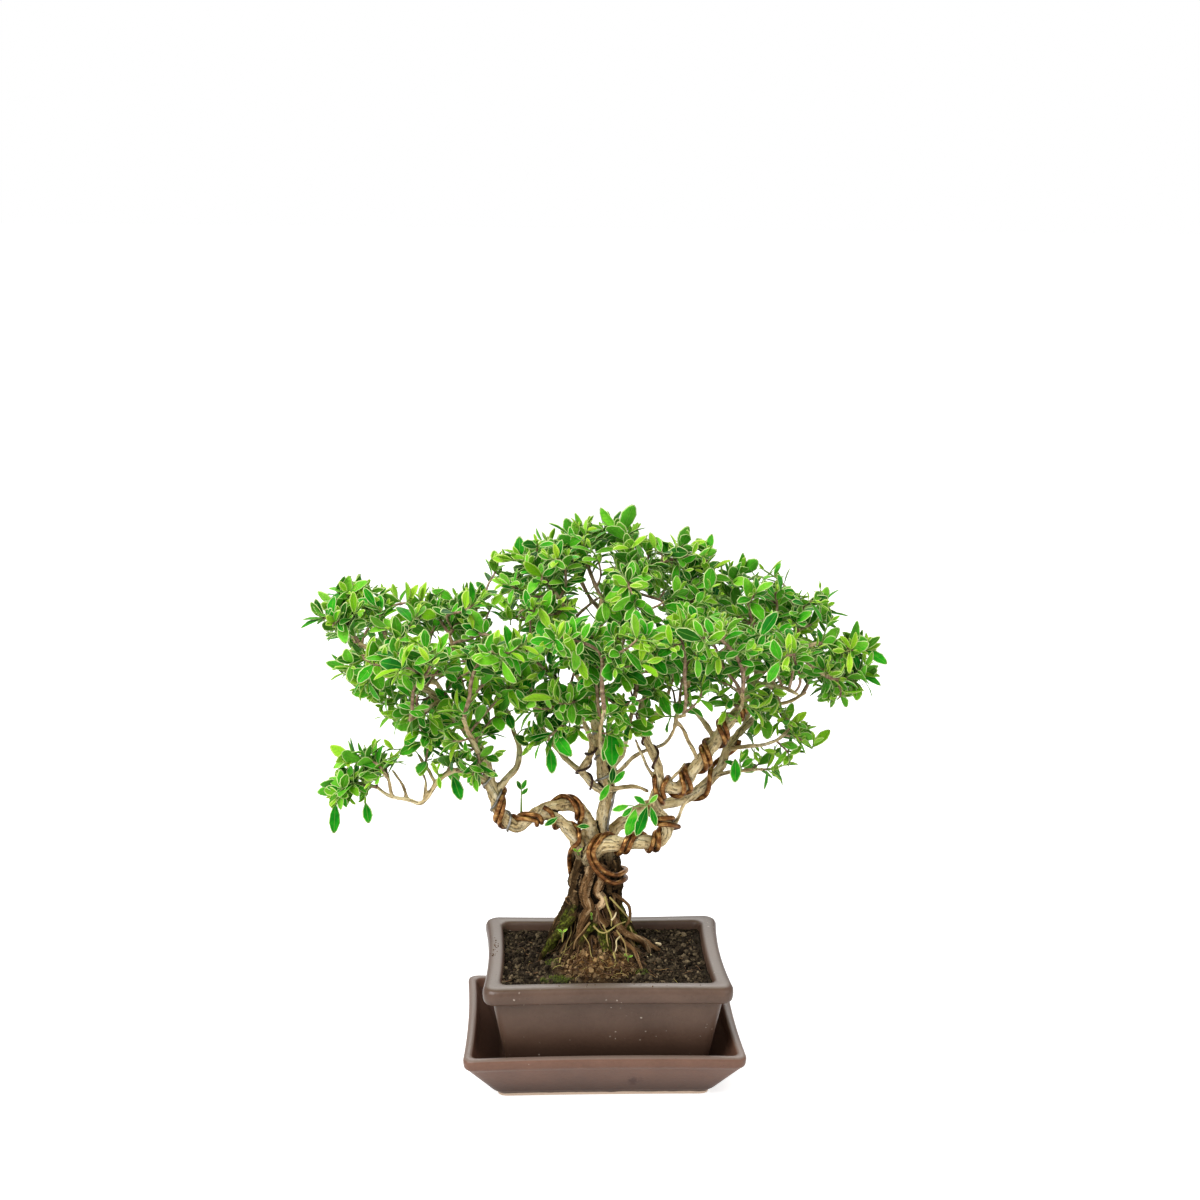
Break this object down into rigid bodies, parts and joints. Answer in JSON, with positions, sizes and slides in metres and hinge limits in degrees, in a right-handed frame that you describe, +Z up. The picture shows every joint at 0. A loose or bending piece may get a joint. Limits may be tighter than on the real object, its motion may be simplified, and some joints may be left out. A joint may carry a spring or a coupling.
{
  "type": "potted serissa bonsai tree",
  "caption": "Small-leaved serissa bonsai with exposed roots and wired branches in a rectangular stoneware pot on a matching drip tray.",
  "frame": {"origin": "centre of the tray's flat underside, on the surface that the tray stands on", "axes": "+X to the right along the long side of the pot, +Y to the back, +Z up; the front of the tree faces -Y"},
  "size_m": [0.3591, 0.2188, 0.3561],
  "materials": {
    "bark": "matte",
    "leaves": "satin",
    "soil": "matte",
    "moss": "matte",
    "stoneware": "satin",
    "tray_stoneware": "satin",
    "net": "matte",
    "copper_wire": "satin",
    "silver_wire": "satin",
    "dark_wire": "satin"
  },
  "bodies": {
    "root": {"drain_net_left": "net", "drain_net_right": "net", "drip_tray": "tray_stoneware", "leafy_shoot_01": "leaves", "leafy_shoot_02": "leaves", "leafy_shoot_03": "leaves", "leafy_shoot_04": "leaves", "leafy_shoot_05": "leaves", "leafy_shoot_06": "leaves", "leafy_shoot_07": "leaves", "leafy_shoot_08": "leaves", "leafy_shoot_09": "leaves", "leafy_shoot_10": "leaves", "leafy_shoot_11": "leaves", "leafy_shoot_12": "leaves", "leafy_shoot_13": "leaves", "leafy_shoot_14": "leaves", "leafy_shoot_15": "leaves", "leafy_shoot_16": "leaves", "leafy_shoot_17": "leaves", "leafy_shoot_18": "leaves", "leafy_shoot_19": "leaves", "leafy_shoot_20": "leaves", "leafy_shoot_21": "leaves", "leafy_shoot_22": "leaves", "leafy_shoot_23": "leaves", "leafy_shoot_24": "leaves", "leafy_shoot_25": "leaves", "leafy_shoot_26": "leaves", "leafy_shoot_27": "leaves", "leafy_shoot_28": "leaves", "leafy_shoot_29": "leaves", "leafy_shoot_30": "leaves", "leafy_shoot_31": "leaves", "leafy_shoot_32": "leaves", "leafy_shoot_33": "leaves", "leafy_shoot_34": "leaves", "leafy_shoot_35": "leaves", "leafy_shoot_36": "leaves", "leafy_shoot_37": "leaves", "moss_front": "moss", "moss_left": "moss", "moss_right": "moss", "pot": "stoneware", "soil": "soil", "tree": "bark", "wire_dark_left": "dark_wire", "wire_dark_right": "dark_wire", "wire_left_arch": "copper_wire", "wire_left_prop": "copper_wire", "wire_right_inner": "copper_wire", "wire_right_outer": "copper_wire", "wire_silver_left": "silver_wire", "wire_silver_stem": "silver_wire"}
  },
  "joints": []
}
